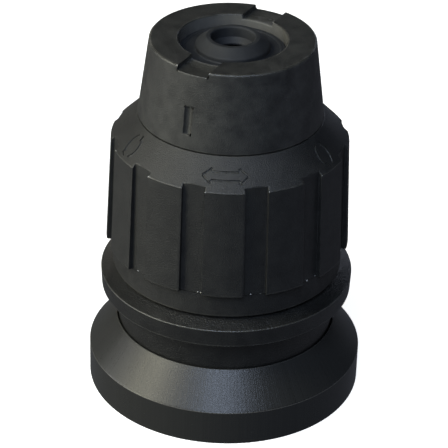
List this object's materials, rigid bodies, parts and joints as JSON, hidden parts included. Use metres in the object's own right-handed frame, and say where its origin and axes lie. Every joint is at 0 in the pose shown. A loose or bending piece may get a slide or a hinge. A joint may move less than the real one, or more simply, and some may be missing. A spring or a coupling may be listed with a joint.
{
  "type": "drill chuck",
  "caption": "Interchangeable hammer drill chuck: tapered nose with a rubber dust seal, a ribbed grip collar that turns to lock, a pull-back release sleeve and a flared rear hood.",
  "frame": {"origin": "on the tool axis, in the plane of the rear hood's rim, which is the lowest plane of the part", "axes": "+Z along the tool axis out of the nose; -Y towards the index mark on the nose cap; the face channel runs along Y"},
  "size_m": [0.062, 0.062, 0.085],
  "materials": {
    "black_nylon": "glass-filled nylon, fine moulded grain, worn satin on the edges",
    "satin_black_plastic": "satin plastic with fine turned lines on the flare",
    "black_rubber": "matt moulded rubber",
    "black_oxide_steel": "black oxide over ground steel",
    "hardened_steel": "ground and hardened",
    "spring_steel": "oil-tempered spring wire",
    "ball_steel": "polished bearing ball"
  },
  "bodies": {
    "holder": {"tool_holder": "black_oxide_steel", "nose_cap": "black_nylon", "dust_seal": "black_rubber", "nose_snap_ring": "spring_steel", "front_stop_washer": "hardened_steel", "collar_circlip": "spring_steel", "detent_spring": "spring_steel", "base_hood": "satin_black_plastic", "hood_circlip_lower": "spring_steel", "hood_circlip_upper": "spring_steel", "spring_seat_washer": "hardened_steel", "return_spring": "spring_steel", "socket_seal_ring": "black_rubber", "grease_seal_ring": "black_rubber"},
    "grip": {"grip_collar": "black_nylon", "cam_ring": "hardened_steel"},
    "release": {"release_sleeve": "black_nylon", "pull_tube": "hardened_steel", "lock_ring": "hardened_steel"},
    "lock_ball_right": {"lock_ball_1": "ball_steel"},
    "lock_ball_left": {"lock_ball_2": "ball_steel"},
    "coupling_ball_a": {"coupling_ball_1": "ball_steel"},
    "coupling_ball_b": {"coupling_ball_2": "ball_steel"},
    "coupling_ball_c": {"coupling_ball_3": "ball_steel"}
  },
  "joints": [
    {"name": "collar_turn", "type": "hinge", "parent": "holder", "child": "grip", "pos_m": [0, 0, 0.05], "axis": [0, 0, 1], "range_deg": [-26, 34]},
    {"name": "sleeve_slide", "type": "slide", "parent": "holder", "child": "release", "axis": [0, 0, -1], "range_m": [0, 0.005], "stiffness_N_per_m": 2500, "springref_m": -0.006, "deforming": ["return_spring"]},
    {"name": "lock_ball_out_right", "type": "slide", "parent": "holder", "child": "lock_ball_right", "axis": [1, 0, 0], "range_m": [0, 0.0015]},
    {"name": "lock_ball_out_left", "type": "slide", "parent": "holder", "child": "lock_ball_left", "axis": [-1, 0, 0], "range_m": [0, 0.0015]},
    {"name": "coupling_ball_out_a", "type": "slide", "parent": "holder", "child": "coupling_ball_a", "axis": [0.866, -0.5, 0], "range_m": [-0.00097, 0.00074]},
    {"name": "coupling_ball_out_b", "type": "slide", "parent": "holder", "child": "coupling_ball_b", "axis": [0, 1, 0], "range_m": [-0.00097, 0.00074]},
    {"name": "coupling_ball_out_c", "type": "slide", "parent": "holder", "child": "coupling_ball_c", "axis": [-0.866, -0.5, 0], "range_m": [-0.00097, 0.00074]}
  ],
  "couplings": [
    {"joint": "lock_ball_out_right", "follows": "sleeve_slide", "ratio": 0.3},
    {"joint": "lock_ball_out_left", "follows": "sleeve_slide", "ratio": 0.3},
    {"joint": "coupling_ball_out_a", "follows": "collar_turn", "m_per_rad": -0.0016234},
    {"joint": "coupling_ball_out_b", "follows": "collar_turn", "m_per_rad": -0.0016234},
    {"joint": "coupling_ball_out_c", "follows": "collar_turn", "m_per_rad": -0.0016234}
  ]
}
